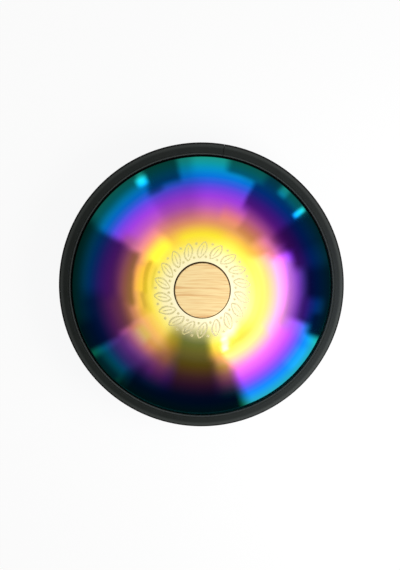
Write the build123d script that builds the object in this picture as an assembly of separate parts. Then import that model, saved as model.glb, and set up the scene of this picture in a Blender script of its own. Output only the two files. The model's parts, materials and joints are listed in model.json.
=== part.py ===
from build123d import *
import os
from math import asin, atan, cos, degrees, sin, sqrt

# Steel tongue drum, lying on its tongue side with its plain back and wooden plug upwards.
#
# Two pressed steel domes meet at their flanges on an epoxy film, and a split rubber channel grips the
# flanges. The upper dome, the back, has a round sound port with a rubber grommet and a wooden plug. The
# lower dome, the playing side, is slotted into tongues, and each tongue carries a tuning magnet inside.
# Millimetres, +Z up. The origin is the middle of the lower crown, the flat that the drum lies on.

# Driving dimensions of the two shells
SHEET = 2.0  # steel sheet
FOOT_RADIUS = 162.4  # where each dome runs out into its flange
DOME_HEIGHT = 46.0  # outside, from the flange's face to the crown
FOOT_FILLET = 2.0  # outside radius between dome and flange
FLANGE_WIDTH = 11.1  # flat flange outside the dome's foot
BOND_FILM = 0.3  # epoxy between the flanges

# Driving dimensions of the rubber rim channel
RIM_LEG = 1.8  # rubber above and below the flanges
RIM_WEB = 4.0  # rubber outside the flanges' edge
RIM_LIP_GAP = 0.3  # dark gap between the dome's foot and the channel's lips
RIM_SHOULDER = 3.6  # outer rounding of the channel
RIM_LIP_ROUND = 1.0  # rounding of the lips
RIM_SEAM_ANGLE = 80.9  # where the channel's two ends meet, degrees from +X
RIM_SEAM_GAP = 0.6  # open joint between those ends

# Driving dimensions of the sound port, its grommet and its plug
PORT_RADIUS = 30.0  # hole in the upper crown
CROWN_LAND = 8.3  # flat crown left outside the grommet
GROMMET_WALL = 2.0  # rubber inside the hole
GROMMET_FACE_REACH = 3.7  # outer lip beyond the hole
GROMMET_BACK_REACH = 2.5  # inner lip beyond the hole
GROMMET_LIP = 1.2  # thickness of both lips
GROMMET_ROUND = 0.6  # rounding of the outer lip
PLUG_HEAD = 4.5  # thickness of the wooden head
PLUG_HEAD_SETBACK = 1.5  # outer lip left showing, a dark line round the wood
PLUG_EDGE_ROUND = 0.7
PLUG_CLEARANCE = 0.1  # between spigot and grommet, all round
PLUG_SPIGOT_REACH = 2.0  # spigot below the grommet
PLUG_SPIGOT_ROUND = 0.8

# Driving dimensions of the tongues and their magnets
ROOT_LAND = 11.0  # plain dome between the tongues' roots and the foot fillet, in plan
LONGEST_TONGUE = 92.0  # lowest note, along the sheet
SCALE_SEMITONES = (0, 2, 4, 5, 7, 9, 10, 12, 14, 16, 17, 19, 21, 22, 24)
LARGE_TONGUES = 8  # the lowest notes are wide tongues, the rest sit between them
LARGE_TIP_WIDTH = 38.0
LARGE_ROOT_WIDTH = 46.0
SMALL_TIP_WIDTH = 22.0
SMALL_ROOT_WIDTH = 28.0
TONGUE_SLOT = 1.6  # cut slot round each tongue
ROOT_GAP = 0.1  # lets the tongue swing about its root
MAGNET_RADIUS = 5.0
MAGNET_THICKNESS = 2.0
MAGNET_FROM_TIP = 9.0  # bare sheet between the magnet's rim and the tongue's tip, in plan
GLUE_FILM = 0.03  # under the magnet's rim

# Plan radii, each from the piece that it seats on
flange_radius = FOOT_RADIUS + FLANGE_WIDTH
rim_radius = flange_radius + RIM_WEB
lip_radius = FOOT_RADIUS + RIM_LIP_GAP
bore_radius = PORT_RADIUS - GROMMET_WALL
grommet_face_radius = PORT_RADIUS + GROMMET_FACE_REACH
grommet_back_radius = PORT_RADIUS + GROMMET_BACK_REACH
plug_head_radius = grommet_face_radius - PLUG_HEAD_SETBACK
crown_radius = grommet_face_radius + CROWN_LAND

# Heights from the plane where the flanges meet
flange_inside = BOND_FILM / 2
flange_outside = flange_inside + SHEET
crown_outside = flange_outside + DOME_HEIGHT
crown_inside = crown_outside - SHEET
grommet_face = crown_outside + GROMMET_LIP
grommet_back = crown_inside - GROMMET_LIP
joint_plane = crown_outside  # that plane's own height above the floor

# The dome's arc meets the flat crown and the foot fillet without a crease
dome_run = FOOT_RADIUS - crown_radius
dome_slope = 2 * atan(DOME_HEIGHT / dome_run)
dome_radius = dome_run / sin(dome_slope) - FOOT_FILLET
dome_centre = crown_outside - dome_radius
fillet_centre = flange_outside + FOOT_FILLET
root_radius = FOOT_RADIUS - FOOT_FILLET * sin(dome_slope) - ROOT_LAND


def turned(corners, sweep=360):
    """Section of (radius, height) corners, revolved about the axis; a third value rounds a corner."""
    points = [Vector(radius, 0, joint_plane + height) for radius, height, *_ in corners]
    section = Face(Wire.make_polygon(points))
    for point, (_, _, *rounding) in zip(points, corners):
        if rounding:
            corner = section.vertices().sort_by_distance(point)[0]
            section = section.fillet_2d(*rounding, [corner])
    return revolve(section, Axis.Z, sweep)


def shell(side, hole_radius):
    """One pressed dome with its flange: side 1 stands up from the joint plane, side -1 hangs below it."""

    def point(radius, height):
        return Vector(radius, 0, joint_plane + side * height)

    def line(start, end):
        return Edge.make_line(point(*start), point(*end))

    def bend(centre, radius, first_lean, last_lean):
        leans = (first_lean, (first_lean + last_lean) / 2, last_lean)
        return Edge.make_three_point_arc(
            *[point(centre[0] + radius * sin(lean), centre[1] + radius * cos(lean)) for lean in leans]
        )

    crown_bend = (crown_radius, dome_centre)
    foot_bend = (FOOT_RADIUS, fillet_centre)
    section = [
        line((hole_radius, crown_outside), (crown_radius, crown_outside)),
        bend(crown_bend, dome_radius, 0, dome_slope),
        bend(foot_bend, -FOOT_FILLET, dome_slope, 0),
        line((FOOT_RADIUS, flange_outside), (flange_radius, flange_outside)),
        line((flange_radius, flange_outside), (flange_radius, flange_inside)),
        line((flange_radius, flange_inside), (FOOT_RADIUS, flange_inside)),
        bend(foot_bend, -FOOT_FILLET - SHEET, 0, dome_slope),
        bend(crown_bend, dome_radius - SHEET, dome_slope, 0),
        line((crown_radius, crown_inside), (hole_radius, crown_inside)),
        line((hole_radius, crown_inside), (hole_radius, crown_outside)),
    ]
    return revolve(Face(Wire(section)), Axis.Z)


def flange_bond():
    """Epoxy film between the two flanges."""
    return turned(
        [
            (FOOT_RADIUS, flange_inside),
            (flange_radius, flange_inside),
            (flange_radius, -flange_inside),
            (FOOT_RADIUS, -flange_inside),
        ]
    )


def rim_channel():
    """Rubber U channel on the flanges, cut to length, with an open seam where its ends meet."""
    rim_top = flange_outside + RIM_LEG
    seam = degrees(RIM_SEAM_GAP / rim_radius)
    ring = turned(
        [
            (lip_radius, flange_outside),
            (lip_radius, rim_top, RIM_LIP_ROUND),
            (rim_radius, rim_top, RIM_SHOULDER),
            (rim_radius, -rim_top, RIM_SHOULDER),
            (lip_radius, -rim_top, RIM_LIP_ROUND),
            (lip_radius, -flange_outside),
            (flange_radius, -flange_outside),
            (flange_radius, flange_outside),
        ],
        360 - seam,
    )
    return Rot(0, 0, RIM_SEAM_ANGLE + seam / 2) * ring


def port_grommet():
    """Rubber edging of the sound port; its groove holds the crown's sheet."""
    return turned(
        [
            (bore_radius, grommet_face),
            (grommet_face_radius, grommet_face, GROMMET_ROUND),
            (grommet_face_radius, crown_outside),
            (PORT_RADIUS, crown_outside),
            (PORT_RADIUS, crown_inside),
            (grommet_back_radius, crown_inside),
            (grommet_back_radius, grommet_back),
            (bore_radius, grommet_back),
        ]
    )


def wooden_plug():
    """Turned wooden plug: a flat head on the grommet's face and a spigot through its bore."""
    head_top = grommet_face + PLUG_HEAD
    spigot_radius = bore_radius - PLUG_CLEARANCE
    spigot_end = grommet_back - PLUG_SPIGOT_REACH
    return turned(
        [
            (0, head_top),
            (plug_head_radius, head_top, PLUG_EDGE_ROUND),
            (plug_head_radius, grommet_face),
            (spigot_radius, grommet_face),
            (spigot_radius, spigot_end, PLUG_SPIGOT_ROUND),
            (0, spigot_end),
        ]
    )


def lean_at(radius, depth):
    """Lean of the dome's sheet at a plan radius, depth into the sheet; the crown is flat."""
    return asin(max(0, radius - crown_radius) / (dome_radius - depth))


def lower_sheet(radius, depth):
    """Height above the floor of the lower dome's sheet at a plan radius, depth into the sheet."""
    return dome_radius - (dome_radius - depth) * cos(lean_at(radius, depth))


def tip_radius(length):
    """Plan radius of a tongue's tip, that length along the sheet from its root towards the crown."""
    left_on_dome = dome_radius * lean_at(root_radius, 0) - length
    if left_on_dome > 0:
        return crown_radius + dome_radius * sin(left_on_dome / dome_radius)
    return crown_radius + left_on_dome


def tongue_layout():
    """Every tongue as (angle in degrees, plan radius of its tip, tip width, root width), lowest first.
    Large tongues pair off right and left from the side at -Y; small ones stand in the gaps between them."""
    tongues = []
    pitch = 360 / LARGE_TONGUES
    for note, semitones in enumerate(SCALE_SEMITONES):
        tip = tip_radius(LONGEST_TONGUE * 2 ** (-semitones / 24))
        right_or_left = -1 if note % 2 else 1
        if note < LARGE_TONGUES:
            place = note // 2 + 0.5
            widths = (LARGE_TIP_WIDTH, LARGE_ROOT_WIDTH)
        else:
            place = (note - LARGE_TONGUES) // 2 + 1
            widths = (SMALL_TIP_WIDTH, SMALL_ROOT_WIDTH)
        tongues.append((-90 + right_or_left * place * pitch, tip, *widths))
    return tongues


def tongue_prism(angle, tip, tip_width, root_width, slot=0, root_gap=0):
    """Upright prism of a tongue's plan outline, grown by the slot at its sides and tip."""
    half_tip = tip_width / 2 + slot
    half_root = root_width / 2 + slot
    root = root_radius + root_gap
    tip_centre = tip + tip_width / 2
    tip_left, tip_right = (tip_centre, half_tip), (tip_centre, -half_tip)
    root_left, root_right = (root, half_root), (root, -half_root)
    outline = [
        Edge.make_line(tip_left, root_left),
        Edge.make_line(root_left, root_right),
        Edge.make_line(root_right, tip_right),
        Edge.make_three_point_arc(tip_right, (tip_centre - half_tip, 0), tip_left),
    ]
    return Rot(0, 0, angle) * extrude(Face(Wire(outline)), joint_plane, dir=(0, 0, 1))


def tuning_magnet(angle, tip):
    """Disc magnet glued inside a tongue near its tip; its rim rests in the hollow of the sheet."""
    inside = dome_radius - SHEET
    radius = tip + MAGNET_FROM_TIP + MAGNET_RADIUS
    lean = lean_at(radius, SHEET)
    hollow = inside - sqrt(inside**2 - MAGNET_RADIUS**2)
    lift = hollow + GLUE_FILM + MAGNET_THICKNESS / 2
    middle = Pos(radius - lift * sin(lean), 0, lower_sheet(radius, SHEET) + lift * cos(lean))
    return Rot(0, 0, angle) * middle * Rot(0, -degrees(lean), 0) * Cylinder(MAGNET_RADIUS, MAGNET_THICKNESS)


def drum():
    """All pieces by name."""
    playing_dome = shell(-1, 0)
    tongues = tongue_layout()
    pieces = {
        "back_shell": shell(1, PORT_RADIUS),
        "tongue_shell": playing_dome - [tongue_prism(*tongue, TONGUE_SLOT, ROOT_GAP) for tongue in tongues],
        "flange_bond": flange_bond(),
        "rim_channel": rim_channel(),
        "port_grommet": port_grommet(),
        "wooden_plug": wooden_plug(),
    }
    for note, tongue in enumerate(tongues, start=1):
        angle, tip, *_ = tongue
        pieces[f"tongue_{note:02d}"] = playing_dome & tongue_prism(*tongue)
        pieces[f"tuning_magnet_{note:02d}"] = tuning_magnet(angle, tip)
    return pieces


if __name__ == "__main__":
    os.makedirs("parts", exist_ok=True)
    for name, piece in drum().items():
        export_step(piece, f"parts/{name}.step")
        print(f"{name}: {piece.volume / 1000:.2f} cm3")
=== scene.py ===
# %% [markdown]
# # A steel tongue drum with a rainbow mirror finish
#
# The drum lies on its playing side, so its plain back faces up: a mirror-bright dome whose coating runs
# in rings from pale gold to teal, a wooden plug in the sound port, and a charcoal rubber rim. Under it,
# close to the floor, are the slotted tongues. The CAD model is the fixed frame of this scene: it gives
# every size and place, and this lesson dresses it.

import json
from collections import namedtuple
from functools import partial
from math import asin, atan, atan2, ceil, cos, hypot, pi, radians, sin, sqrt, tan

import bpy
from mathutils import Matrix, Vector
from mathutils.geometry import delaunay_2d_cdt


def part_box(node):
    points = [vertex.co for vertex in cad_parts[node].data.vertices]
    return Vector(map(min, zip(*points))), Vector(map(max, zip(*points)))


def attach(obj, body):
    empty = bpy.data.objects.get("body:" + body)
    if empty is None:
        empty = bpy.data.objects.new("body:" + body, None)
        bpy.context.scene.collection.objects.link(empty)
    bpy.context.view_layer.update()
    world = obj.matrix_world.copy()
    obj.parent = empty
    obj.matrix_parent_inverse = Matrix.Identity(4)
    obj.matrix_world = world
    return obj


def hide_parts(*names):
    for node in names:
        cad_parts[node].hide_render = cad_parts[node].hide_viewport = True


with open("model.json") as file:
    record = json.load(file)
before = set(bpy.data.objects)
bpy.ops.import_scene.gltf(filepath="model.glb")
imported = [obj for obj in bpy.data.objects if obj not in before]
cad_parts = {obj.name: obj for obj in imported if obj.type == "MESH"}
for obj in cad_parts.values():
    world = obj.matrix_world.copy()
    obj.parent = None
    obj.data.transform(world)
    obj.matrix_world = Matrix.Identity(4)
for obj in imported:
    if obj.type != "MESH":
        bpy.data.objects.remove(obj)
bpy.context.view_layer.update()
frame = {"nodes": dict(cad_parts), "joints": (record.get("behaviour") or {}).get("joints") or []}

# %% [markdown]
# ## Sizes
#
# Most sizes are read from the boxes of the CAD nodes, so the pieces built here can't drift away from
# them. A box says nothing about a curve, so the few values that shape the sections are repeated, in
# metres, as the maker's drawing gives them.

# %% Read the sizes
SHEET = 0.002
CROWN_RADIUS = 0.042
FOOT_RADIUS = 0.1624
FOOT_FILLET = 0.002
PORT_RADIUS = 0.030
LIP_RADIUS = 0.1627

bond_low, bond_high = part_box("flange_bond")
_, back_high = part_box("back_shell")
rim_low, rim_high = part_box("rim_channel")
grommet_low, grommet_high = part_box("port_grommet")
plug_low, plug_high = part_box("wooden_plug")

joint_plane = (bond_low.z + bond_high.z) / 2
bond_half = bond_high.z - joint_plane
flange_radius = back_high.x
flange_face = bond_half + SHEET
crown_face = back_high.z - joint_plane
rim_radius = min(rim_high.x, -rim_low.x, rim_high.y, -rim_low.y)
dome_slope = 2 * atan((crown_face - flange_face) / (FOOT_RADIUS - CROWN_RADIUS))
dome_radius = (FOOT_RADIUS - CROWN_RADIUS) / sin(dome_slope) - FOOT_FILLET
print(f"dome radius {dome_radius:.4f} m, steepest slope {dome_slope / pi * 180:.1f} degrees")

# %% [markdown]
# ## Small tools for node trees
#
# A material is a graph of nodes. Adding a node, setting it up and wiring it take several lines each time,
# so a few helpers do it in one: an input that is given a socket is linked, and one given a value is set.

# %% Node helpers
def fill(tree, node, values):
    """Links or sets a node's inputs, which the keys of values name or number."""
    for socket, value in values.items():
        if isinstance(value, bpy.types.NodeSocket):
            tree.links.new(value, node.inputs[socket])
        else:
            node.inputs[socket].default_value = value


def place(tree, kind, values=None, **settings):
    """Adds a node with its settings and fills its inputs."""
    node = tree.nodes.new(f"ShaderNode{kind}")
    for name, value in settings.items():
        setattr(node, name, value)
    fill(tree, node, values or {})
    return node


def maths(tree, operation, first, second=0.0, third=0.0):
    """One Math node, as its result socket."""
    return place(tree, "Math", {0: first, 1: second, 2: third}, operation=operation).outputs[0]


def ease(tree, value, start, end, low=0.0, high=1.0):
    """Runs smoothly from low to high while value goes from start to end."""
    values = {"Value": value, "From Min": start, "From Max": end, "To Min": low, "To Max": high}
    return place(tree, "MapRange", values, interpolation_type="SMOOTHSTEP").outputs["Result"]


def blend(tree, factor, first, second):
    """Mix of two colours, as a socket."""
    return place(tree, "Mix", {0: factor, 6: first, 7: second}, data_type="RGBA").outputs[2]


def diagonal(tree, first, second):
    """Length of the diagonal over two steps, as a socket."""
    squares = maths(tree, "MULTIPLY", first, first)
    return maths(tree, "SQRT", maths(tree, "MULTIPLY_ADD", second, second, squares))


def noise_at(tree, vector, scale, detail):
    """Soft noise from 0 to 1, as a socket."""
    values = {"Vector": vector, "Scale": scale, "Detail": detail}
    return place(tree, "TexNoise", values).outputs[0]


def relief(tree, height, strength, depth):
    """Normal of a bump that is so many metres deep, as a socket."""
    values = {"Strength": strength, "Distance": depth, "Height": height}
    return place(tree, "Bump", values).outputs[0]


def paint(red, green, blue):
    """A colour as a picture shows it, from 0 to 255, turned into light values by the sRGB curve."""
    shown = [channel / 255 for channel in (red, green, blue)]
    return [c / 12.92 if c <= 0.04045 else ((c + 0.055) / 1.055) ** 2.4 for c in shown] + [1.0]


def new_group(name, inputs, outputs):
    """An empty shader node group with float sockets; returns it with its input and output nodes."""
    group = bpy.data.node_groups.new(name, "ShaderNodeTree")
    for label, default in inputs.items():
        socket = group.interface.new_socket(label, in_out="INPUT", socket_type="NodeSocketFloat")
        socket.default_value = default
    for label in outputs:
        group.interface.new_socket(label, in_out="OUTPUT", socket_type="NodeSocketFloat")
    return group, group.nodes.new("NodeGroupInput"), group.nodes.new("NodeGroupOutput")


def new_material(name):
    """A material with its node tree and its Principled shader."""
    material = bpy.data.materials.new(name)
    material.use_nodes = True
    return material, material.node_tree, material.node_tree.nodes["Principled BSDF"]


# %% [markdown]
# ## Shared effects: plan position and surface mottle
#
# The drum is round, so most of its patterns follow the distance from its axis and the angle round it. A
# node group turns the object's own coordinates into those numbers once, for every material that needs
# them. A second group gives the soft unevenness that keeps any real surface from looking like plastic: a
# broad cloud, a fine one, and hair-thin wiping marks.

# %% Shared node groups
BROAD_SCALE, FINE_SCALE = 20.0, 900.0
CLOUD_DETAIL = {"Broad": 2.0, "Fine": 3.0}
WIPE_STRETCH = (40, 900, 40)
WIPE_TURN = (0, 0, 0.6)
WIPE_DETAIL = 4.0
WIPE_BAND = (0.5, 0.75)
NOISE_BAND = (0.3, 0.7)

centre = {"Centre X": 0.0, "Centre Y": 0.0}
plan_position, group_in, group_out = new_group("plan_position", centre, ["Radius", "Turn", "Height"])
here = place(plan_position, "TexCoord").outputs["Object"]
split = place(plan_position, "SeparateXYZ", {0: here}).outputs
aside = maths(plan_position, "SUBTRACT", split["X"], group_in.outputs["Centre X"])
ahead = maths(plan_position, "SUBTRACT", split["Y"], group_in.outputs["Centre Y"])
distance = diagonal(plan_position, aside, ahead)
angle = maths(plan_position, "ARCTAN2", ahead, aside)
turn = maths(plan_position, "DIVIDE", angle, 2 * pi)
fill(plan_position, group_out, {"Radius": distance, "Turn": turn, "Height": split["Z"]})

scales = {"Broad Scale": BROAD_SCALE, "Fine Scale": FINE_SCALE}
surface_mottle, group_in, group_out = new_group("surface_mottle", scales, ["Broad", "Fine", "Wipes"])
here = place(surface_mottle, "TexCoord").outputs["Object"]
for output, detail in CLOUD_DETAIL.items():
    cloud = noise_at(surface_mottle, here, group_in.outputs[f"{output} Scale"], detail)
    fill(surface_mottle, group_out, {output: cloud})
values = {"Vector": here, "Scale": WIPE_STRETCH, "Rotation": WIPE_TURN}
stretched = place(surface_mottle, "Mapping", values).outputs[0]
wipes = noise_at(surface_mottle, stretched, 1.0, WIPE_DETAIL)
fill(surface_mottle, group_out, {"Wipes": ease(surface_mottle, wipes, *WIPE_BAND)})


def located(tree, middle=None):
    """The plan position group placed in a material, as its outputs; middle moves its centre."""
    return place(tree, "Group", middle, node_tree=plan_position).outputs


def mottled(tree, broad=BROAD_SCALE, fine=FINE_SCALE):
    """The mottle group placed in a material, as its outputs, with the scales of its two clouds."""
    values = {"Broad Scale": broad, "Fine Scale": fine}
    return place(tree, "Group", values, node_tree=surface_mottle).outputs


def spread(tree, noise, low, high):
    """Spreads the middle of a noise, where most of its values lie, from low to high."""
    return ease(tree, noise, *NOISE_BAND, low, high)


print("groups", [group.name for group in bpy.data.node_groups])

# %% [markdown]
# ## The etched frieze
#
# Round the plug runs a ring that a laser has dulled: it reads pale against dark reflections and grey
# against bright ones. Here it is a ring of plain leaning leaves with dots between them. Each leaf is a
# formula: its half width falls off as a parabola along its length, and its line is where a point is less
# than half a stroke from that edge. The fraction of the angle times the number of leaves repeats it.

# %% Frieze group
FRIEZE_LEAVES = 18
FRIEZE_MIDDLE = 0.0475
LEAF_HALF_LENGTH = 0.0098
LEAF_HALF_WIDTH = 0.0050
LEAF_LEAN = 0.35
VEIN_SHARE = 0.30
STROKE = 0.0021
VEIN_STROKE = 0.0014
STROKE_SOFTNESS = 0.0006
DOT_RADIUS = 0.0016
DOT_RINGS = (0.0395, 0.0550)

etched_frieze, group_in, group_out = new_group("etched_frieze", {"Radius": 0.0, "Turn": 0.0}, ["Mask"])
radius = group_in.outputs["Radius"]
in_frieze = partial(maths, etched_frieze)


def across_cell(offset):
    """Sideways distance from the middle of the nearest cell; offset 0.5 counts from between cells."""
    cells = in_frieze("MULTIPLY_ADD", group_in.outputs["Turn"], FRIEZE_LEAVES, offset)
    part = in_frieze("SUBTRACT", in_frieze("FRACT", cells), 0.5)
    turn = in_frieze("MULTIPLY", part, 2 * pi / FRIEZE_LEAVES)
    return in_frieze("MULTIPLY", turn, radius)


def stroke(distance, half_width):
    """Mask of a line where distance is under half its width."""
    return ease(etched_frieze, distance, half_width - STROKE_SOFTNESS, half_width + STROKE_SOFTNESS, 1.0, 0.0)


def leaf():
    """Outline of a leaning leaf on the ring's middle, with a vein."""
    outwards = in_frieze("SUBTRACT", radius, FRIEZE_MIDDLE)
    along = in_frieze("DIVIDE", outwards, LEAF_HALF_LENGTH)
    narrowing = in_frieze("MULTIPLY", along, along)
    half_width = in_frieze("MULTIPLY_ADD", narrowing, -LEAF_HALF_WIDTH, LEAF_HALF_WIDTH)
    leaning = in_frieze("MULTIPLY_ADD", outwards, LEAF_LEAN, across_cell(0.0))
    sideways = in_frieze("ABSOLUTE", leaning)
    edge = in_frieze("ABSOLUTE", in_frieze("SUBTRACT", sideways, half_width))
    within = in_frieze("LESS_THAN", narrowing, 1.0)
    outline = in_frieze("MULTIPLY", stroke(edge, STROKE / 2), within)
    short = in_frieze("LESS_THAN", narrowing, VEIN_SHARE)
    vein = in_frieze("MULTIPLY", stroke(sideways, VEIN_STROKE / 2), short)
    return in_frieze("MAXIMUM", outline, vein)


def dots(ring):
    """A ring of dots between the leaves."""
    outwards = in_frieze("SUBTRACT", radius, ring)
    leaned = in_frieze("ADD", across_cell(0.5), LEAF_LEAN * (ring - FRIEZE_MIDDLE))
    return stroke(diagonal(etched_frieze, outwards, leaned), DOT_RADIUS)


mask = leaf()
for ring in DOT_RINGS:
    mask = in_frieze("MAXIMUM", mask, dots(ring))
fill(etched_frieze, group_out, {"Mask": mask})
print("frieze of", FRIEZE_LEAVES, "leaves")

# %% [markdown]
# ## Rainbow steel
#
# The coating is a clear film a few hundred nanometres thick on polished steel. Its colour follows its
# thickness, which changes with the distance from the crown, so it is a ramp over the radius. The bath never
# lays it down quite evenly: the rings' centre lies a few millimetres off the axis. The foot and the flange
# are painted dark and dull, as painted shade under the rim's lip, round a centre a little off the axis. The
# shader is a plain metal: apart from that painted shade, its light and shade are the room that it mirrors,
# which is built later. Inside the drum the steel is bare.

# %% Rainbow and bare steel
COAT_CENTRE = {"Centre X": 0.0015, "Centre Y": -0.004}
COAT_RINGS = {
    0.034: (255, 246, 206),
    0.048: (255, 243, 182),
    0.056: (255, 238, 124),
    0.062: (255, 230, 82),
    0.069: (254, 212, 70),
    0.076: (250, 190, 80),
    0.085: (240, 156, 112),
    0.094: (226, 124, 154),
    0.104: (198, 90, 206),
    0.115: (168, 68, 236),
    0.125: (116, 74, 240),
    0.132: (60, 95, 238),
    0.139: (10, 121, 230),
    0.147: (4, 143, 204),
    0.155: (10, 150, 164),
    0.163: (24, 146, 128),
}
COAT_OUTER = max(COAT_RINGS)
STEEL_ROUGHNESS = (0.08, 0.12)
PRESSING_DEPTH = 0.0003
# Painted shade: the foot and the flange are darkened and dulled round a centre a little off the axis.
FOOT_SHADE_CENTRE = {"Centre X": 0.0005, "Centre Y": -0.0008}
FOOT_SHADE_FROM, FOOT_SHADE_TO = 0.0022, 0.0014
PAINTED_FOOT_SHADE = paint(14, 14, 15)
FOOT_SHADE_ROUGHNESS = 0.5
ETCHED_STEEL = paint(216, 202, 140)
ETCHED_ROUGHNESS = 0.55
ETCHED_WEAR = 0.45
GRAIN_DEPTH = 0.0001
PLAIN_GLOSS = 0.5


def coat_colour(tree):
    """Colour of the coating by its rings, as a socket."""
    along = maths(tree, "DIVIDE", located(tree, COAT_CENTRE)["Radius"], COAT_OUTER)
    ramp = place(tree, "ValToRGB", {0: along})
    stops = ramp.color_ramp.elements
    stops.remove(stops[0])
    for number, (ring, colour) in enumerate(COAT_RINGS.items()):
        stop = stops.new(ring / COAT_OUTER) if number else stops[0]
        stop.position = ring / COAT_OUTER
        stop.color = paint(*colour)
    return ramp.outputs["Color"]


def rainbow_steel(name, with_frieze):
    """Mirror steel with its ring-coloured coating, a painted shade at the foot and the dulled frieze on the
    back.
    """
    material, tree, shader = new_material(name)
    mottle = mottled(tree)
    # painted shade along the foot and the flange, under the rim's lip
    from_shade_centre = located(tree, FOOT_SHADE_CENTRE)["Radius"]
    foot_shade = ease(tree, from_shade_centre, FOOT_RADIUS - FOOT_SHADE_FROM, FOOT_RADIUS - FOOT_SHADE_TO)
    colour = blend(tree, foot_shade, coat_colour(tree), PAINTED_FOOT_SHADE)
    roughness = ease(tree, mottle["Wipes"], 0.0, 1.0, *STEEL_ROUGHNESS)
    roughness = maths(tree, "MULTIPLY_ADD", foot_shade, FOOT_SHADE_ROUGHNESS, roughness)
    if with_frieze:
        where = located(tree)
        rings = {"Radius": where["Radius"], "Turn": where["Turn"]}
        etched = place(tree, "Group", rings, node_tree=etched_frieze).outputs["Mask"]
        bitten = spread(tree, mottle["Fine"], low=1.0 - ETCHED_WEAR, high=1.0)
        etched = maths(tree, "MULTIPLY", etched, bitten)
        colour = blend(tree, etched, colour, ETCHED_STEEL)
        roughness = maths(tree, "MULTIPLY_ADD", etched, ETCHED_ROUGHNESS, roughness)
    pressing = relief(tree, mottle["Broad"], strength=1.0, depth=PRESSING_DEPTH)
    fill(tree, shader, {"Base Color": colour, "Roughness": roughness, "Normal": pressing, "Metallic": 1.0})
    return material


def mottled_finish(name, colours, roughness, scales, metallic=0.0, gloss=PLAIN_GLOSS, grain=0.0):
    """A material with two colours in broad clouds, a finely mottled roughness and perhaps a grain."""
    material, tree, shader = new_material(name)
    mottle = mottled(tree, *scales)
    colour = blend(tree, mottle["Broad"], *[paint(*shown) for shown in colours])
    dullness = spread(tree, mottle["Fine"], *roughness)
    fill(tree, shader, {"Base Color": colour, "Roughness": dullness, "Metallic": metallic})
    fill(tree, shader, {"Specular IOR Level": gloss})
    if grain:
        fill(tree, shader, {"Normal": relief(tree, mottle["Fine"], grain, GRAIN_DEPTH)})
    return material


bare_steel = mottled_finish(
    "bare_steel",
    colours=[(150, 152, 156), (186, 184, 178)],
    roughness=(0.28, 0.42),
    scales=(BROAD_SCALE, FINE_SCALE),
    metallic=1.0,
)
back_finish = [rainbow_steel("back_steel", True), bare_steel]
tongue_finish = [rainbow_steel("tongue_steel", False), bare_steel]
COATED, BARE = 0, 1
print("steel", [material.name for material in back_finish + tongue_finish])

# %% [markdown]
# ## Turned pieces
#
# Nearly every piece of the drum is turned or pressed round one axis, so its shape is a section: a closed
# outline in radius and height. A mirror shows every facet, so the outline carries its own exact normals.
# It is a list of runs, straight ones and arcs. A point where two runs meet is shared in the mesh, but
# each run keeps its own normal there, which gives a crisp corner without splitting the mesh.

# %% Section helpers
CORNER_STEPS = 8


def straight(start, end):
    """Run between two (radius, height) points, each with the outward normal; sections go anticlockwise."""
    along = Vector(end) - Vector(start)
    outward = Vector((along.y, -along.x)).normalized()
    return [(Vector(start), outward), (Vector(end), outward)]


def bend(centre, radius, first, last, steps):
    """Arc from one angle to another; a falling angle makes a hollow arc."""
    outward = 1 if last > first else -1
    run = []
    for step in range(steps + 1):
        angle = first + (last - first) * step / steps
        direction = Vector((cos(angle), sin(angle)))
        run.append((Vector(centre) + radius * direction, outward * direction))
    return run


def rounded(corners):
    """Runs of a section through (radius, height) corners, anticlockwise; a third value rounds a corner."""
    arcs = []
    for index, (*corner, rounding) in enumerate([(*corner, 0)[:3] for corner in corners]):
        corner = Vector(corner)
        if not rounding:
            arcs.append([(corner, None)])
            continue
        back = (Vector(corners[index - 1][:2]) - corner).normalized()
        onward = (Vector(corners[(index + 1) % len(corners)][:2]) - corner).normalized()
        half = back.angle(onward) / 2
        centre = corner + (back + onward).normalized() * rounding / sin(half)
        entry = corner + back * rounding / tan(half) - centre
        leave = corner + onward * rounding / tan(half) - centre
        first = atan2(entry.y, entry.x)
        turn = (atan2(leave.y, leave.x) - first + pi) % (2 * pi) - pi
        arcs.append(bend(centre, rounding, first, first + turn, CORNER_STEPS))
    runs = []
    for arc, following in zip(arcs, arcs[1:] + arcs[:1]):
        if len(arc) > 1:
            runs.append(arc)
        runs.append(straight(arc[-1][0], following[0][0]))
    return runs


# %% [markdown]
# Turning a section makes one ring of points for each outline point, and a strip of quads between two
# rings. A point on the axis stays a single vertex. A part turn, such as the rim with its open seam, gets
# a flat face at each end.

# %% Turn a section
ROUND_STEPS = 240
ON_AXIS = 1e-7
KEY_DIGITS = 7


def add_object(name, data):
    """Puts a mesh, a camera or a lamp into the scene."""
    made = bpy.data.objects.new(name, data)
    bpy.context.scene.collection.objects.link(made)
    return made


def add_mesh(name, points, faces, materials):
    """A new mesh object with its materials."""
    mesh = bpy.data.meshes.new(name)
    mesh.from_pydata(points, [], faces)
    for material in materials:
        mesh.materials.append(material)
    return add_object(name, mesh)


class MeshParts:
    """Collects points, faces, a normal for each face corner and a material number for each face."""

    def __init__(self):
        self.points, self.faces, self.normals, self.finishes = [], [], [], []

    def point(self, *place_in_space):
        self.points.append(place_in_space)
        return len(self.points) - 1

    def face(self, corners, normals, finish=0):
        self.faces.append(corners)
        self.normals.extend(normals)
        self.finishes.append(finish)

    def piece(self, node, body, materials):
        """Makes the object, which stands for a CAD node and rides on its body."""
        made = add_mesh(f"dressed_{node}", self.points, self.faces, materials)
        made.data.polygons.foreach_set("material_index", self.finishes)
        made.data.polygons.foreach_set("use_smooth", [True] * len(self.faces))
        made.data.normals_split_custom_set(self.normals)
        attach(made, body)
        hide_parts(node)
        print(made.name, len(self.points), "points", len(self.faces), "faces")


def spot_key(spot):
    """An outline point, rounded so that two runs that meet there name the same ring."""
    return round(spot.x, KEY_DIGITS), round(spot.y, KEY_DIGITS)


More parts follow.
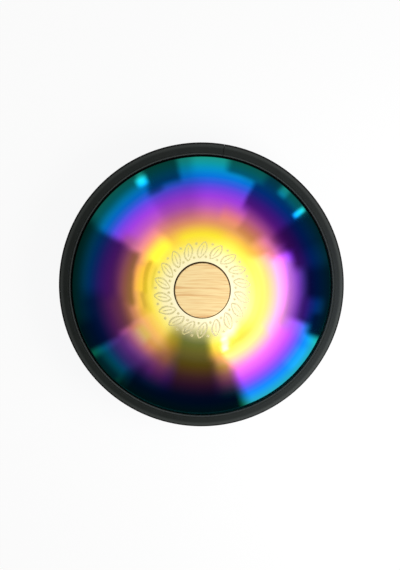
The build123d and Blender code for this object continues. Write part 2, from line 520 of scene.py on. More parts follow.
def turn_section(parts, runs, finishes=None, start=0.0, sweep=2 * pi, known=None):
    """Adds runs turned round the axis. known maps an outline point to a ring that is already there."""
    whole = sweep == 2 * pi
    rings = ROUND_STEPS if whole else ROUND_STEPS + 1
    turns = [start + sweep * step / ROUND_STEPS for step in range(rings)]
    circles = dict(known or {})

    def circle(spot):
        key = spot_key(spot)
        if key not in circles and spot.x < ON_AXIS:
            circles[key] = [parts.point(0, 0, spot.y)] * rings
        if key not in circles:
            circles[key] = [parts.point(spot.x * cos(turn), spot.x * sin(turn), spot.y) for turn in turns]
        return circles[key]

    def swung(normal, step):
        return (normal.x * cos(turns[step]), normal.x * sin(turns[step]), normal.y)

    for number, run in enumerate(runs):
        finish = finishes[number] if finishes else 0
        for (low, low_normal), (high, high_normal) in zip(run, run[1:]):
            first, second = circle(low), circle(high)
            for step in range(ROUND_STEPS):
                after = (step + 1) % rings
                corners = [first[step], first[after], second[after], second[step]]
                normals = [swung(low_normal, step), swung(low_normal, after)]
                normals += [swung(high_normal, after), swung(high_normal, step)]
                if first[step] == first[after]:
                    del corners[1], normals[1]
                elif second[step] == second[after]:
                    del corners[3], normals[3]
                parts.face(corners, normals, finish)
    if not whole:
        outline = [circle(spot) for run in runs for spot, _ in run[:-1]]
        for step, facing in ((0, -1), (ROUND_STEPS, 1)):
            normal = (-sin(turns[step]) * facing, cos(turns[step]) * facing, 0)
            corners = [ring[step] for ring in outline][:: -facing]
            parts.face(corners, [normal] * len(corners))


# %% [markdown]
# ## Back shell
#
# The back is pressed from sheet: a flat crown round the sound port, one long arc down to the foot, a
# small fillet and the flange. Both shells share this section, and the back is the lower one turned over.

# %% Back shell
DOME_STEPS = 72
FILLET_STEPS = 10


def sheet_lean(radius, depth):
    """Lean of the dome's sheet at a plan radius, that deep in the sheet; the crown is flat."""
    return asin(max(0.0, radius - CROWN_RADIUS) / (dome_radius - depth))


def dome_section(inner_radius):
    """Runs of the lower shell from a plan radius to the flange and back inside, with their finishes."""
    down, up = -pi / 2, pi / 2
    outer_start, inner_end = down + sheet_lean(inner_radius, 0), down + sheet_lean(inner_radius, SHEET)
    dome_end, fillet_start = down + dome_slope, up + dome_slope
    dome_centre = (CROWN_RADIUS, joint_plane - crown_face + dome_radius)
    foot_centre = (FOOT_RADIUS, joint_plane - flange_face - FOOT_FILLET)
    outer_face, joint_face = joint_plane - flange_face, joint_plane - bond_half
    outside = [
        bend(dome_centre, dome_radius, outer_start, dome_end, DOME_STEPS),
        bend(foot_centre, FOOT_FILLET, fillet_start, up, FILLET_STEPS),
        straight((FOOT_RADIUS, outer_face), (flange_radius, outer_face)),
        straight((flange_radius, outer_face), (flange_radius, joint_face)),
    ]
    inside = [
        straight((flange_radius, joint_face), (FOOT_RADIUS, joint_face)),
        bend(foot_centre, FOOT_FILLET + SHEET, up, fillet_start, FILLET_STEPS),
        bend(dome_centre, dome_radius - SHEET, dome_end, inner_end, DOME_STEPS),
    ]
    if inner_radius < CROWN_RADIUS:
        outer_crown, inner_crown = joint_plane - crown_face, joint_plane - crown_face + SHEET
        outside.insert(0, straight((inner_radius, outer_crown), (CROWN_RADIUS, outer_crown)))
        inside.append(straight((CROWN_RADIUS, inner_crown), (inner_radius, inner_crown)))
        inside.append(straight((inner_radius, inner_crown), (inner_radius, outer_crown)))
    return outside + inside, [COATED] * len(outside) + [BARE] * len(inside)


def turned_over(runs):
    """The same section mirrored in the joint plane."""
    mirror = Vector((1, -1))
    lift = Vector((0, 2 * joint_plane))
    turned = []
    for run in reversed(runs):
        turned.append([(spot * mirror + lift, normal * mirror) for spot, normal in reversed(run)])
    return turned


runs, finishes = dome_section(PORT_RADIUS)
back = MeshParts()
turn_section(back, turned_over(runs), finishes[::-1])
back.piece("back_shell", "drum", back_finish)

# %% [markdown]
# ## Tongue shell and tongues
#
# The playing side is one pressed dome with fifteen U-shaped slots. Cutting the slots with Booleans would
# leave long thin triangles, and a mirror shows those. So the sheet is drawn flat in plan, as a Delaunay
# triangulation round the outlines of the slots and tongues, and lifted onto the dome, where the normal is
# known exactly. Each tongue is a piece of its own, because it swings on its own body.

# %% Tongue outlines
LARGE_TONGUES = 8
# at the tip and at the root
LARGE_WIDTHS, SMALL_WIDTHS = (0.038, 0.046), (0.022, 0.028)
TONGUE_SLOT = 0.0016
ROOT_GAP = 0.0001
OUTLINE_STEP = 0.003
SHEET_EDGE_MARGIN = 0.002
Tongue = namedtuple("Tongue", "node body outward tip root tip_width root_width")

tongues = []
for joint in frame["joints"]:
    if joint["type"] != "hinge":
        continue
    number = len(tongues) + 1
    node = f"tongue_{number:02d}"
    root_x, root_y, _ = joint["pos_m"]
    root = hypot(root_x, root_y)
    outward = Vector((root_x, root_y)) / root
    tip = min(vertex.co.xy.dot(outward) for vertex in frame["nodes"][node].data.vertices)
    widths = LARGE_WIDTHS if number <= LARGE_TONGUES else SMALL_WIDTHS
    tongues.append(Tongue(node, joint["child"], outward, tip, root, *widths))


def divided(start, end):
    """Points from start up to, but not with, end, about one outline step apart."""
    count = ceil((end - start).length / OUTLINE_STEP)
    return [start.lerp(end, step / count) for step in range(count)]


def tongue_outline(tongue, slot, root_gap):
    """Plan outline of a tongue, anticlockwise, grown by the slot at its sides and tip."""
    half_tip, half_root = tongue.tip_width / 2 + slot, tongue.root_width / 2 + slot
    root = tongue.root + root_gap
    tip_centre = Vector((tongue.tip + tongue.tip_width / 2, 0))
    root_right, root_left = Vector((root, -half_root)), Vector((root, half_root))
    tip_left, tip_right = tip_centre + Vector((0, half_tip)), tip_centre - Vector((0, half_tip))
    arc_steps = ceil(pi * half_tip / OUTLINE_STEP) * 2
    arc = [pi / 2 + pi * step / arc_steps for step in range(arc_steps)]
    points = divided(root_right, root_left) + divided(root_left, tip_left)
    points += [tip_centre + half_tip * Vector((cos(angle), sin(angle))) for angle in arc]
    points += divided(tip_right, root_right)
    sideways = Vector((-tongue.outward.y, tongue.outward.x))
    return [tongue.outward * point.x + sideways * point.y for point in points]


sheet_edge = tongues[0].root + SHEET_EDGE_MARGIN
sheet_rim = [2 * pi * step / ROUND_STEPS for step in range(ROUND_STEPS)]
outlines = [[Vector((sheet_edge * cos(angle), sheet_edge * sin(angle))) for angle in sheet_rim]]
for tongue in tongues:
    outlines.append(tongue_outline(tongue, TONGUE_SLOT, ROOT_GAP))
    outlines.append(tongue_outline(tongue, 0.0, 0.0))
print(len(tongues), "tongues, tips at", [round(tongue.tip, 4) for tongue in tongues])

# %% [markdown]
# The triangulation gets the outlines as closed regions, and the corners of a grid of equal triangles
# wherever they keep clear of the outlines. It says which regions each triangle lies in: number 0 is the
# whole sheet, and then each slot and its tongue follow in turn. The last of them is the innermost.

# %% Triangulate the playing side
GRID_STEP = 0.0045
GRID_CLEARANCE = 0.0022
WELD = 1e-7
ALL_TRIANGLES = 0


def grid_cell(point):
    """Column and row of the grid that a point is nearest to."""
    return round(point.x / GRID_STEP), round(point.y / GRID_STEP)


outline_points = [point for outline in outlines for point in outline]
near = {}
for point in outline_points:
    near.setdefault(grid_cell(point), []).append(point)


def clear_of_outlines(point):
    """True where no outline point is so close that a triangle would become a sliver."""
    column, row = grid_cell(point)
    cells = [(column + right, row + up) for right in (-1, 0, 1) for up in (-1, 0, 1)]
    return all((point - other).length > GRID_CLEARANCE for cell in cells for other in near.get(cell, []))


reach = ceil(sheet_edge / GRID_STEP * 2 / sqrt(3))
grid = []
for row in range(-reach, reach + 1):
    for column in range(-reach, reach + 1):
        spot = Vector(((column + row % 2 / 2) * GRID_STEP, row * GRID_STEP * sqrt(3) / 2))
        if spot.length < sheet_edge - GRID_CLEARANCE and clear_of_outlines(spot):
            grid.append(spot)
firsts = [sum(len(outline) for outline in outlines[:index]) for index in range(len(outlines))]
regions = [list(range(first, first + len(outline))) for first, outline in zip(firsts, outlines)]
drawing = delaunay_2d_cdt(outline_points + grid, [], regions, ALL_TRIANGLES, WELD)
plan_points, _, triangles, _, _, inside_of = drawing
innermost = {}
for triangle, owners in zip(triangles, inside_of):
    innermost.setdefault(max(owners, default=None), []).append(triangle)
print(len(plan_points), "plan points", len(triangles), "triangles")

# %% [markdown]
# Each plan point is lifted twice, to the outside and to the inside of the sheet. An edge with a triangle
# on one side only is a cut and gets a wall, except along the rim of the sheet, where the turned foot and
# flange go on from the same points.

# %% Lift the sheet onto the dome
def lift_point(parts, index):
    """Both sides of the sheet at a plan point, outside first, each as a point number and a normal."""
    point = plan_points[index]
    radius = point.length
    away = point / radius if radius > ON_AXIS else Vector((0, 0))
    sides = []
    for depth, facing in ((0.0, 1), (SHEET, -1)):
        lean = sheet_lean(radius, depth)
        height = dome_radius - (dome_radius - depth) * cos(lean)
        across = away * sin(lean) * facing
        sides.append((parts.point(point.x, point.y, height), (across.x, across.y, -cos(lean) * facing)))
    return sides


def lift_sheet(parts, chosen):
    """Adds the chosen triangles as a sheet with two sides and cut walls, and returns its outer rim."""
    used = sorted({index for triangle in chosen for index in triangle})
    lifted = {index: lift_point(parts, index) for index in used}
    for triangle in chosen:
        outside = [lifted[index][0] for index in reversed(triangle)]
        inside = [lifted[index][1] for index in triangle]
        for side, finish in ((outside, COATED), (inside, BARE)):
            parts.face([number for number, _ in side], [normal for _, normal in side], finish)
    edges = {edge for triangle in chosen for edge in zip(triangle, triangle[1:] + triangle[:1])}
    rim = {}
    for start, end in sorted(edges):
        if (end, start) in edges:
            continue
        if min(plan_points[start].length, plan_points[end].length) > sheet_edge - GRID_CLEARANCE / 2:
            rim[start] = lifted[start]
            continue
        along = (plan_points[end] - plan_points[start]).normalized()
        corners = [lifted[start][1][0], lifted[start][0][0], lifted[end][0][0], lifted[end][1][0]]
        parts.face(corners, [(along.y, -along.x, 0)] * 4, BARE)
    return rim


def rim_step(index):
    """Which of the round steps a point on the sheet's rim stands at."""
    point = plan_points[index]
    return round(atan2(point.y, point.x) / (2 * pi) * ROUND_STEPS) % ROUND_STEPS


shell = MeshParts()
rim = lift_sheet(shell, innermost[0])
runs, finishes = dome_section(sheet_edge)
round_the_rim = sorted(rim, key=rim_step)
known = {}
for side, spot in ((0, runs[0][0][0]), (1, runs[-1][-1][0])):
    known[spot_key(spot)] = [rim[index][side][0] for index in round_the_rim]
turn_section(shell, runs, finishes, known=known)
shell.piece("tongue_shell", "drum", tongue_finish)
for number, tongue in enumerate(tongues):
    leaf_parts = MeshParts()
    lift_sheet(leaf_parts, innermost[2 * number + 2])
    leaf_parts.piece(tongue.node, tongue.body, tongue_finish)

# %% [markdown]
# ## Rubber rim
#
# The rim is a length of extruded U channel, pressed over both flanges and butted at a seam. A fine bead
# runs along the lip that meets the dome, with a shallow groove behind it, and from there the face falls a
# little towards the edge. Its section is turned by a little less than a full turn, leaving a hair of a
# seam. Painted highlights lie on the lip and shoulder, and painted shade on the outer edge and the seam.

# %% Rim channel
RIM_SEAM_ANGLE = radians(80.9)
RIM_SEAM_GAP = 0.0002
# Width of the painted shade along the seam.
SEAM_SHADE_WIDTH = 0.0006
RIM_SHOULDER = 0.0034
FACE_FALL = 0.0012
BEAD_WIDTH = 0.0021
BEAD_ROUND = 0.0005
LIP_ROUND = 0.0013
GROOVE_WIDTH = 0.0012
GROOVE_DEPTH = 0.0005
GROOVE_ROUND = 0.0002
FACE_SINK = 0.0002
# A painted highlight lies along the lip's bead.
LIP_HIGHLIGHT_FADE = (0.0015, 0.0009)
# A painted highlight lies on the outer shoulder.
SHOULDER_HIGHLIGHT_FADE = (0.0072, 0.0036)
# Painted shade darkens the outermost edge, where the side turns away.
EDGE_SHADE_FADE = (0.0026, 0.0015)
RUBBER_DARK, RUBBER_PALE = paint(29, 32, 31), paint(39, 42, 40)
PAINTED_LIP_HIGHLIGHT, PAINTED_SHOULDER_HIGHLIGHT = paint(62, 64, 63), paint(56, 59, 57)
PAINTED_EDGE_SHADE, PAINTED_SEAM_SHADE = paint(12, 12, 12), paint(10, 10, 10)
EXTRUSION_LINES = 2600.0
RUBBER_GRAIN = 0.6
RUBBER_GLOSS = 0.1


def rim_rubber():
    """Satin charcoal rubber, with painted highlights on its lip and shoulder and painted shade at its edge
    and seam.
    """
    material, tree, shader = new_material("charcoal_rubber")
    where, mottle = located(tree), mottled(tree, broad=45.0, fine=1400.0)
    from_lip = maths(tree, "SUBTRACT", where["Radius"], LIP_RADIUS)
    from_edge = maths(tree, "SUBTRACT", rim_radius, where["Radius"])
    turn_off = maths(tree, "SUBTRACT", where["Turn"], RIM_SEAM_ANGLE / (2 * pi))
    from_seam = maths(tree, "MULTIPLY", maths(tree, "ABSOLUTE", turn_off), 2 * pi * rim_radius)
    colour = blend(tree, mottle["Broad"], RUBBER_DARK, RUBBER_PALE)
    # Painted light over the rubber: highlights on the lip and shoulder, shade at the outer edge and in the
    # seam.
    layers = [
        (from_lip, LIP_HIGHLIGHT_FADE, PAINTED_LIP_HIGHLIGHT),
        (from_edge, SHOULDER_HIGHLIGHT_FADE, PAINTED_SHOULDER_HIGHLIGHT),
        (from_edge, EDGE_SHADE_FADE, PAINTED_EDGE_SHADE),
        (from_seam, (SEAM_SHADE_WIDTH, SEAM_SHADE_WIDTH / 2), PAINTED_SEAM_SHADE),
    ]
    for distance, fade, tone in layers:
        colour = blend(tree, ease(tree, distance, *fade), colour, tone)
    roughness = spread(tree, mottle["Broad"], low=0.5, high=0.64)
    along_section = maths(tree, "ADD", where["Radius"], where["Height"])
    values = {"W": along_section, "Scale": EXTRUSION_LINES, "Detail": 1.0}
    drawn = place(tree, "TexNoise", values, noise_dimensions="1D").outputs[0]
    height = maths(tree, "MULTIPLY_ADD", mottle["Fine"], RUBBER_GRAIN, drawn)
    grain = relief(tree, height, strength=0.5, depth=GRAIN_DEPTH)
    fill(tree, shader, {"Base Color": colour, "Roughness": roughness, "Normal": grain})
    fill(tree, shader, {"Specular IOR Level": RUBBER_GLOSS})
    return material


rim_top = rim_high.z - joint_plane
upper = [
    (rim_radius, rim_top - FACE_FALL, RIM_SHOULDER),
    (LIP_RADIUS + BEAD_WIDTH + GROOVE_WIDTH, rim_top - FACE_SINK, GROOVE_ROUND),
    (LIP_RADIUS + BEAD_WIDTH + GROOVE_WIDTH / 2, rim_top - GROOVE_DEPTH, GROOVE_ROUND),
    (LIP_RADIUS + BEAD_WIDTH, rim_top, BEAD_ROUND),
    (LIP_RADIUS, rim_top, LIP_ROUND),
    (LIP_RADIUS, flange_face),
    (flange_radius, flange_face),
]
section = [(radius, joint_plane + height, *rounding) for radius, height, *rounding in upper]
section += [(radius, joint_plane - height, *rounding) for radius, height, *rounding in upper[::-1]]
seam = RIM_SEAM_GAP / rim_radius
channel = MeshParts()
turn_section(channel, rounded(section), start=RIM_SEAM_ANGLE + seam / 2, sweep=2 * pi - seam)
channel.piece("rim_channel", "drum", [rim_rubber()])

# %% [markdown]
# ## Grommet and wooden plug
#
# The sound port is edged with a rubber grommet, of which only a dark line shows round the wood. The plug
# is turned from a pale board, so its grain runs straight across: noise stretched along X gives the fibres,
# a slower one the darker growth lines, and the dark burnish at the edge follows the radius.

# %% Grommet
BORE_RADIUS = 0.028
GROMMET_BACK_RADIUS = 0.0325
GROMMET_ROUND = 0.0008

grommet_rubber = mottled_finish(
    "grommet_rubber",
    colours=[(58, 40, 12), (86, 62, 22)],
    roughness=(0.5, 0.65),
    scales=(60.0, 1800.0),
    gloss=0.12,
    grain=0.4,
)
crown_top, crown_under = back_high.z, back_high.z - SHEET
grommet_outline = [
    (BORE_RADIUS, grommet_low.z, GROMMET_ROUND / 2),
    (GROMMET_BACK_RADIUS, grommet_low.z, GROMMET_ROUND / 2),
    (GROMMET_BACK_RADIUS, crown_under),
    (PORT_RADIUS, crown_under),
    (PORT_RADIUS, crown_top),
    (grommet_high.x, crown_top),
    (grommet_high.x, grommet_high.z, GROMMET_ROUND),
    (BORE_RADIUS, grommet_high.z),
]
grommet = MeshParts()
turn_section(grommet, rounded(grommet_outline))
grommet.piece("port_grommet", "drum", [grommet_rubber])

# %% Wooden plug
SPIGOT_RADIUS = 0.0279
PLUG_EDGE_ROUND = 0.0009
GRAIN_STRETCH, GRAIN_SWAY, GRAIN_SINK = 0.04, 0.004, 0.5
SWAY_SCALE, GROWTH_SCALE, FIBRE_SCALE = 24.0, 360.0, 800.0
GROWTH_BAND, FIBRE_BAND = (0.54, 0.70), (0.40, 0.66)
BURNISH_FROM, BURNISH_TO = 0.0006, 0.0001
WOOD_PALE, WOOD_FIBRE = paint(254, 225, 161), paint(244, 205, 139)
WOOD_GROWTH, WOOD_BURNISH = paint(232, 183, 119), paint(150, 104, 62)
WOOD_GLOSS = 0.3


def pale_wood():
    """Pale oiled wood with straight grain along X."""
    material, tree, shader = new_material("pale_wood")
    here = place(tree, "TexCoord").outputs["Object"]
    split = place(tree, "SeparateXYZ", {0: here}).outputs
    sway = noise_at(tree, here, SWAY_SCALE, detail=1.0)
    along = maths(tree, "MULTIPLY", split["X"], GRAIN_STRETCH)
    across = maths(tree, "MULTIPLY_ADD", sway, GRAIN_SWAY, split["Y"])
    deep = maths(tree, "MULTIPLY", split["Z"], GRAIN_SINK)
    board = place(tree, "CombineXYZ", {0: along, 1: across, 2: deep}).outputs[0]
    growth = noise_at(tree, board, GROWTH_SCALE, detail=2.0)
    fibre = noise_at(tree, board, FIBRE_SCALE, detail=3.0)
    fibres = ease(tree, fibre, *FIBRE_BAND)
    colour = blend(tree, fibres, WOOD_PALE, WOOD_FIBRE)
    colour = blend(tree, ease(tree, growth, *GROWTH_BAND), colour, WOOD_GROWTH)
    from_axis = located(tree)["Radius"]
    burnish = ease(tree, from_axis, plug_high.x - BURNISH_FROM, plug_high.x - BURNISH_TO)
    colour = blend(tree, burnish, colour, WOOD_BURNISH)
    roughness = spread(tree, fibre, low=0.42, high=0.58)
    grain = relief(tree, fibres, strength=0.3, depth=GRAIN_DEPTH)
    fill(tree, shader, {"Base Color": colour, "Roughness": roughness, "Normal": grain})
    fill(tree, shader, {"Specular IOR Level": WOOD_GLOSS})
    return material


plug_outline = [
    (0.0, plug_low.z),
    (SPIGOT_RADIUS, plug_low.z, PLUG_EDGE_ROUND),
    (SPIGOT_RADIUS, grommet_high.z),
    (plug_high.x, grommet_high.z),
    (plug_high.x, plug_high.z, PLUG_EDGE_ROUND),
    (0.0, plug_high.z),
]
plug = MeshParts()
turn_section(plug, rounded(plug_outline)[:-1])
plug.piece("wooden_plug", "plug", [pale_wood()])

# %% [markdown]
# ## Magnets and bond
#
# The CAD solids of the tuning magnets and of the epoxy film are already what the real pieces are, so
# they stay and only get a finish.

# %% Finishes of the CAD nodes that stay
nickel = mottled_finish(
    "plated_nickel",
    colours=[(196, 192, 184), (222, 218, 208)],
    roughness=(0.16, 0.3),
    scales=(300.0, 2500.0),
    metallic=1.0,
)
epoxy = mottled_finish(
    "cured_epoxy",
    colours=[(84, 78, 66), (110, 102, 84)],
    roughness=(0.2, 0.35),
    scales=(80.0, 1200.0),
)
staying = [name for name in frame["nodes"] if name.startswith("tuning_magnet") or name == "flange_bond"]
for name in staying:
    finishes = frame["nodes"][name].data.materials
    finishes.clear()
    finishes.append(epoxy if name == "flange_bond" else nickel)
print(len(staying), "CAD nodes keep their shape")

# %% [markdown]
# ## Camera
#
# The photograph looks almost straight down. The wooden disc stands higher than the rim, and appears a
# little below the rim's middle, so the camera leans towards the top of the picture. The side nearer to the
# lens looks larger, which shifts the rim's outline a little, and the aim follows. The lens comes from the
# rim's size in the picture.

# %% Camera
IMAGE_WIDTH_PX, IMAGE_HEIGHT_PX = 400, 570
RIM_CENTRE_PX = (201.35, 284.31)
RIM_RADIUS_PX = 142.44
CAMERA_DISTANCE = 0.85
CAMERA_LEAN = Vector((-0.0115, 0.0816, 0.0))
SENSOR_MM = 36.0

metres_per_px = rim_radius / RIM_RADIUS_PX
rim_middle = Vector((0, 0, joint_plane))
aim_right = (IMAGE_WIDTH_PX / 2 - RIM_CENTRE_PX[0]) * metres_per_px
aim_up = (RIM_CENTRE_PX[1] - IMAGE_HEIGHT_PX / 2) * metres_per_px
towards_camera = CAMERA_LEAN + Vector((0, 0, sqrt(1 - CAMERA_LEAN.length_squared)))
camera_data = bpy.data.cameras.new("camera")
camera_data.sensor_width = SENSOR_MM
camera_data.lens = SENSOR_MM * CAMERA_DISTANCE / (IMAGE_HEIGHT_PX * metres_per_px)
camera = add_object("camera", camera_data)
picture_right = (-towards_camera).cross(Vector((0, 1, 0))).normalized()
picture_up = picture_right.cross(-towards_camera)
nearer_side_grows = CAMERA_LEAN * rim_radius ** 2 / CAMERA_DISTANCE
aim = rim_middle + Vector((aim_right, aim_up, 0)) + nearer_side_grows
turn = Matrix((picture_right, picture_up, towards_camera)).transposed()
camera.matrix_world = Matrix.LocRotScale(aim + towards_camera * CAMERA_DISTANCE, turn, None)
bpy.context.scene.camera = camera
print(f"lens {camera_data.lens:.1f} mm")

# %% [markdown]
# ## Floor and daylight
#
# The background is white paper. The floor is a pale diffuse surface, which rays from the camera, a mirror
# or glass see mostly as plain white, so it stays white in the picture and still takes the drum's soft
# shadow. The world is white to them too, and lights the scene evenly. One large lamp on the right gives
# the light its direction.

# %% White floor
FLOOR_HALF = 4.0
FLOOR_GAP = 0.0002
FLOOR_WHITE_SHARE = 0.91
PAPER_COLOUR = (0.95, 0.95, 0.95, 1.0)
PAPER_ROUGHNESS = 0.9


def sees_background(tree):
    """1 for rays from the camera, a mirror or glass, and 0 for the light that falls on surfaces."""
    path = place(tree, "LightPath").outputs
    mirror_or_glass = maths(tree, "MAXIMUM", path["Is Glossy Ray"], path["Is Transmission Ray"])
    return maths(tree, "MAXIMUM", path["Is Camera Ray"], mirror_or_glass)


paper, tree, shader = new_material("white_paper")
fill(tree, shader, {"Base Color": PAPER_COLOUR, "Roughness": PAPER_ROUGHNESS})
glow = place(tree, "Emission", {"Strength": 1.0})
share = maths(tree, "MULTIPLY", sees_background(tree), FLOOR_WHITE_SHARE)
mixed = place(tree, "MixShader", {0: share, 1: shader.outputs[0], 2: glow.outputs[0]})
fill(tree, tree.nodes["Material Output"], {"Surface": mixed.outputs[0]})
corners = [(-1, -1), (1, -1), (1, 1), (-1, 1)]
floor_points = [(x * FLOOR_HALF, y * FLOOR_HALF, -FLOOR_GAP) for x, y in corners]
floor = add_mesh("floor", floor_points, [(0, 1, 2, 3)], [paper])
print("floor", 2 * FLOOR_HALF, "m wide")

# %% Daylight and side lamp
DAYLIGHT = 0.36
LAMP_SIZE = 0.5
LAMP_POWER = 5.2
LAMP_PLACE = Vector((0.50, -0.18, 0.45))

world = bpy.data.worlds.new("daylight")
world.use_nodes = True
bpy.context.scene.world = world
sky = world.node_tree
strength = ease(sky, sees_background(sky), 0.0, 1.0, DAYLIGHT, 1.0)
fill(sky, sky.nodes["Background"], {"Color": (1.0, 1.0, 1.0, 1.0), "Strength": strength})

lamp_data = bpy.data.lights.new("side_lamp", "AREA")
lamp_data.size = LAMP_SIZE
lamp_data.energy = LAMP_POWER
lamp = add_object("side_lamp", lamp_data)
lamp.location = LAMP_PLACE
lamp.rotation_mode = "QUATERNION"
lamp.rotation_quaternion = (rim_middle - LAMP_PLACE).to_track_quat("-Z", "Y")
lamp.visible_camera = False
lamp.visible_glossy = False
print("daylight", DAYLIGHT, "and a side lamp of", LAMP_POWER, "W")

# %% [markdown]
# ## Studio tent
#
# A mirror has no look of its own: it shows what stands round it. A product photographer hangs soft boxes,
# white cloth and black flags round such an object, until the bright and dark fields model its curve. Here
# they are painted on the inside of a round tent, which only mirror rays can see. Each screen is a
# soft-edged patch given by its azimuth and its angle from the zenith, and later screens cover earlier ones.

# %% Screens
CEILING = 1.0
DOWN = 200
PLAIN, COOL = (1.0, 1.0, 1.0), (1.0, 0.94, 1.75)
WARM, DUSK = (1.0, 1.05, 0.62), (1.0, 0.62, 1.0)
GOLD, SAGE = (1.0, 1.25, 0.58), (1.0, 1.8, 0.9)
MOSS, HAZE, MIST = (1.0, 1.9, 0.3), (1.0, 1.4, 2.5), (1.0, 1.7, 1.15)
# Tint, brightness, azimuth from and to, zenith from and to, softness sideways and downwards, in degrees.
# A screen that goes DOWN has no lower edge.
SCREENS = [
    # large soft box on the right
    (PLAIN, 1.28, 278, 428, 8, DOWN, 40, 14),
    (COOL, 1.80, 318, 388, 27, DOWN, 24, 14),
    (COOL, 2.40, 296, 378, 42, DOWN, 12, 12),
    (PLAIN, 2.60, 288, 324, 42.5, 58, 6, 8),
    (PLAIN, 1.75, 290, 338, 56, DOWN, 6, 10),
    (PLAIN, 1.35, 290, 338, 71, DOWN, 5, 14),
    (PLAIN, 1.70, 316, 327, 77, 88, 5, 8),
    # bright slit beside the flag
    (COOL, 1.50, 300, 311, 24.5, 31, 8, 6),
    (COOL, 2.20, 291, 305, 26, 34, 6, 6),
    (COOL, 5.00, 289, 295, 30, 38, 4, 4),
    (COOL, 8.00, 288, 293, 36.5, 41.5, 3, 3),
    # lower edge of the soft box and the dark cloth below it
    (MIST, 1.20, 332, 376, 54, DOWN, 8, 8),
    (DUSK, 0.05, 338.5, 400, 63, DOWN, 6, 24),
    (DUSK, 0.20, 340, 352, 70, 86, 6, 10),
    (DUSK, 0.05, 334, 345, 79, DOWN, 4, 10),
    (DUSK, 0.12, 8, 22, 62, DOWN, 8, 10),
    (PLAIN, 1.10, 19, 31, 44, 60, 8, 8),
    (DUSK, 0.06, 19, 50, 57, DOWN, 14, 16),
    # white cloth at the top, with its panels
    (GOLD, 1.00, 64, 116, 22, DOWN, 16, 8),
    (PLAIN, 0.88, 27, 130, 30, DOWN, 10, 14),
    (WARM, 0.70, 27, 58, 37, DOWN, 8, 8),
    (PLAIN, 1.08, 26, 37, 32, 50, 8, 10),
    (DUSK, 0.21, 26, 62, 56, DOWN, 4, 14),
    (DUSK, 0.085, 20, 34, 57, DOWN, 6, 18),
    (PLAIN, 0.30, 34, 50, 82, DOWN, 5, 6),
    (PLAIN, 0.75, 45.5, 49.5, 82, DOWN, 3, 5),
    (PLAIN, 2.60, 34.4, 36.6, 79, 89, 2, 5),
    (WARM, 1.06, 57, 74, 39, 52, 6, 10),
    (PLAIN, 0.66, 92, 120, 38, DOWN, 16, 16),
    (PLAIN, 1.05, 68, 94, 76, DOWN, 6, 16),
    (PLAIN, 0.32, 58, 77, 79, DOWN, 5, 5),
    (PLAIN, 0.28, 112, 125, 68, 76, 5, 6),
    (PLAIN, 0.15, 101, 118, 71, DOWN, 4, 9),
    (PLAIN, 1.15, 129.5, 157, 20, 46, 8, 12),
    (GOLD, 1.45, 130, 157, 24, 36, 12, 10),
    (PLAIN, 0.92, 121, 154, 47, DOWN, 6, 12),
    (GOLD, 0.80, 146, 157, 47, 60, 8, 12),
    (PLAIN, 0.68, 121, 155, 70, DOWN, 6, 8),
    (PLAIN, 0.30, 121, 157, 80, DOWN, 4, 10),
    (PLAIN, 2.90, 118, 122.5, 78.5, 85, 4, 5),
    # panels on the left
    (PLAIN, 0.80, 163, 190, 21.5, 23.5, 6, 2),
    (PLAIN, 0.86, 187, 211, 28, 44, 5, 3),
    (WARM, 1.12, 163, 190, 31.5, 40, 5, 3),
    (PLAIN, 0.98, 187, 203, 34, 41, 5, 3),
    (WARM, 0.74, 157, 192, 27.5, 31.5, 4, 2),
    (PLAIN, 0.70, 189, 205, 30.5, 34, 4, 2),
    (GOLD, 0.34, 154, 198, 39.5, DOWN, 6, 6),
    (GOLD, 0.40, 194, 213, 44, DOWN, 5, 10),
    (PLAIN, 0.13, 152, 216, 53, DOWN, 6, 12),
    (GOLD, 0.20, 189, 216, 51, DOWN, 10, 12),
    (PLAIN, 0.05, 185, 218, 66, DOWN, 10, 24),
    (PLAIN, 0.05, 150, 190, 83, DOWN, 8, 12),
    (DUSK, 0.03, 198, 214, 76, DOWN, 8, 14),
    # grey cloth at the lower left
    (COOL, 0.98, 211, 241, 29, 48, 8, 8),
    (GOLD, 0.78, 211, 241, 43, 62, 6, 10),
    (SAGE, 0.80, 215, 227, 43, 54, 6, 10),
    (SAGE, 0.28, 213, 240, 57, DOWN, 5, 20),
    (WARM, 0.03, 226, 252, 74, DOWN, 8, 40),
    (SAGE, 0.16, 215, 230, 66, DOWN, 5, 20),
    (PLAIN, 0.05, 215, 230, 84, DOWN, 5, 12),
    # plain dark flag at the bottom
    (MOSS, 0.72, 270, 290, 50, DOWN, 8, 10),
    (WARM, 0.90, 275, 285, 18, 28, 8, 8),
    (PLAIN, 0.66, 240, 264, 19, 40, 12, 10),
    (WARM, 0.58, 262, 276, 19, 40, 10, 10),
    (PLAIN, 0.32, 239, 258, 23, DOWN, 18, 16),
    (GOLD, 0.33, 238, 256, 48, DOWN, 12, 12),
    (HAZE, 0.14, 250, 278, 24, DOWN, 10, 18),
    (MOSS, 0.10, 250, 281.5, 44, DOWN, 14, 14),
    (PLAIN, 0.015, 232, 290.5, 67, DOWN, 8, 34),
]
print(len(SCREENS), "screens")

# %% [markdown]
# The mask of a screen is a node group too: 1 inside its borders, with a smooth fall at each of them. The
# tent's material places it once for each screen and lays the screens over each other.

# %% Studio tent
TENT_RADIUS = 0.30
TENT_STEPS = 48
HALF_TURN = 180.0
SCREEN_INPUTS = ("Azimuth", "Zenith", "Middle", "Half Width", "Top", "Bottom", "Side", "Edge")

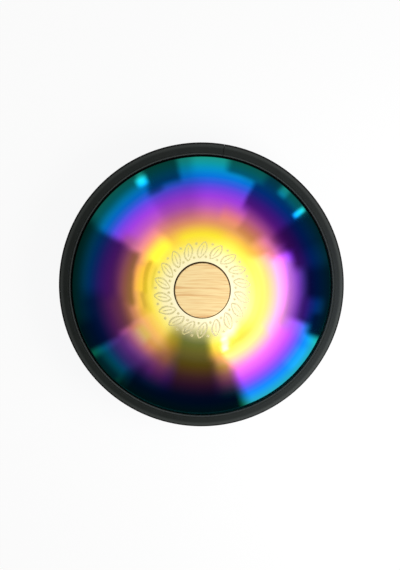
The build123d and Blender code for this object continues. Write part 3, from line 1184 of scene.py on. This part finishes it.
soft_screen, group_in, group_out = new_group("soft_screen", dict.fromkeys(SCREEN_INPUTS, 1.0), ["Mask"])
given = group_in.outputs
in_screen = partial(maths, soft_screen)
aside = in_screen("SUBTRACT", given["Azimuth"], given["Middle"])
aside = in_screen("ABSOLUTE", in_screen("WRAP", aside, HALF_TURN, -HALF_TURN))


def edge_mask(value, border, softness):
    """1 where value is below the border, fading to 0 over the softness."""
    start = in_screen("MULTIPLY_ADD", softness, -0.5, border)
    end = in_screen("MULTIPLY_ADD", softness, 0.5, border)
    return ease(soft_screen, value, start, end, 1.0, 0.0)


above = edge_mask(given["Zenith"], given["Top"], given["Edge"])
mask = in_screen("SUBTRACT", edge_mask(given["Zenith"], given["Bottom"], given["Edge"]), above)
mask = in_screen("MULTIPLY", mask, edge_mask(aside, given["Half Width"], given["Side"]))
fill(soft_screen, group_out, {"Mask": mask})

cloth, tree, shader = new_material("tent_cloth")
tree.nodes.remove(shader)
here = place(tree, "TexCoord").outputs["Object"]
split = place(tree, "SeparateXYZ", {0: here}).outputs
azimuth = maths(tree, "DEGREES", maths(tree, "ARCTAN2", split["Y"], split["X"]))
height = maths(tree, "DIVIDE", split["Z"], TENT_RADIUS)
zenith = maths(tree, "DEGREES", maths(tree, "ARCCOSINE", height))
light = [CEILING, CEILING, CEILING, 1.0]
for tint, level, start, end, top, bottom, side, edge in SCREENS:
    values = (azimuth, zenith, (start + end) / 2, (end - start) / 2, top, bottom, side, edge)
    screen = place(tree, "Group", dict(zip(SCREEN_INPUTS, values)), node_tree=soft_screen)
    light = blend(tree, screen.outputs["Mask"], light, [level * share for share in tint] + [1.0])
glow = place(tree, "Emission", {"Color": light, "Strength": 1.0})
fill(tree, tree.nodes["Material Output"], {"Surface": glow.outputs[0]})

tent_parts = MeshParts()
turn_section(tent_parts, [bend((0, 0), TENT_RADIUS, -pi / 2, pi / 2, TENT_STEPS)])
tent = add_mesh("studio_tent", tent_parts.points, tent_parts.faces, [cloth])
tent.location = rim_middle
for ray in ("camera", "diffuse", "transmission", "volume_scatter", "shadow"):
    setattr(tent, f"visible_{ray}", False)
print("tent of", len(tent_parts.faces), "faces")

# %% View transform
bpy.context.scene.view_settings.view_transform = "Standard"
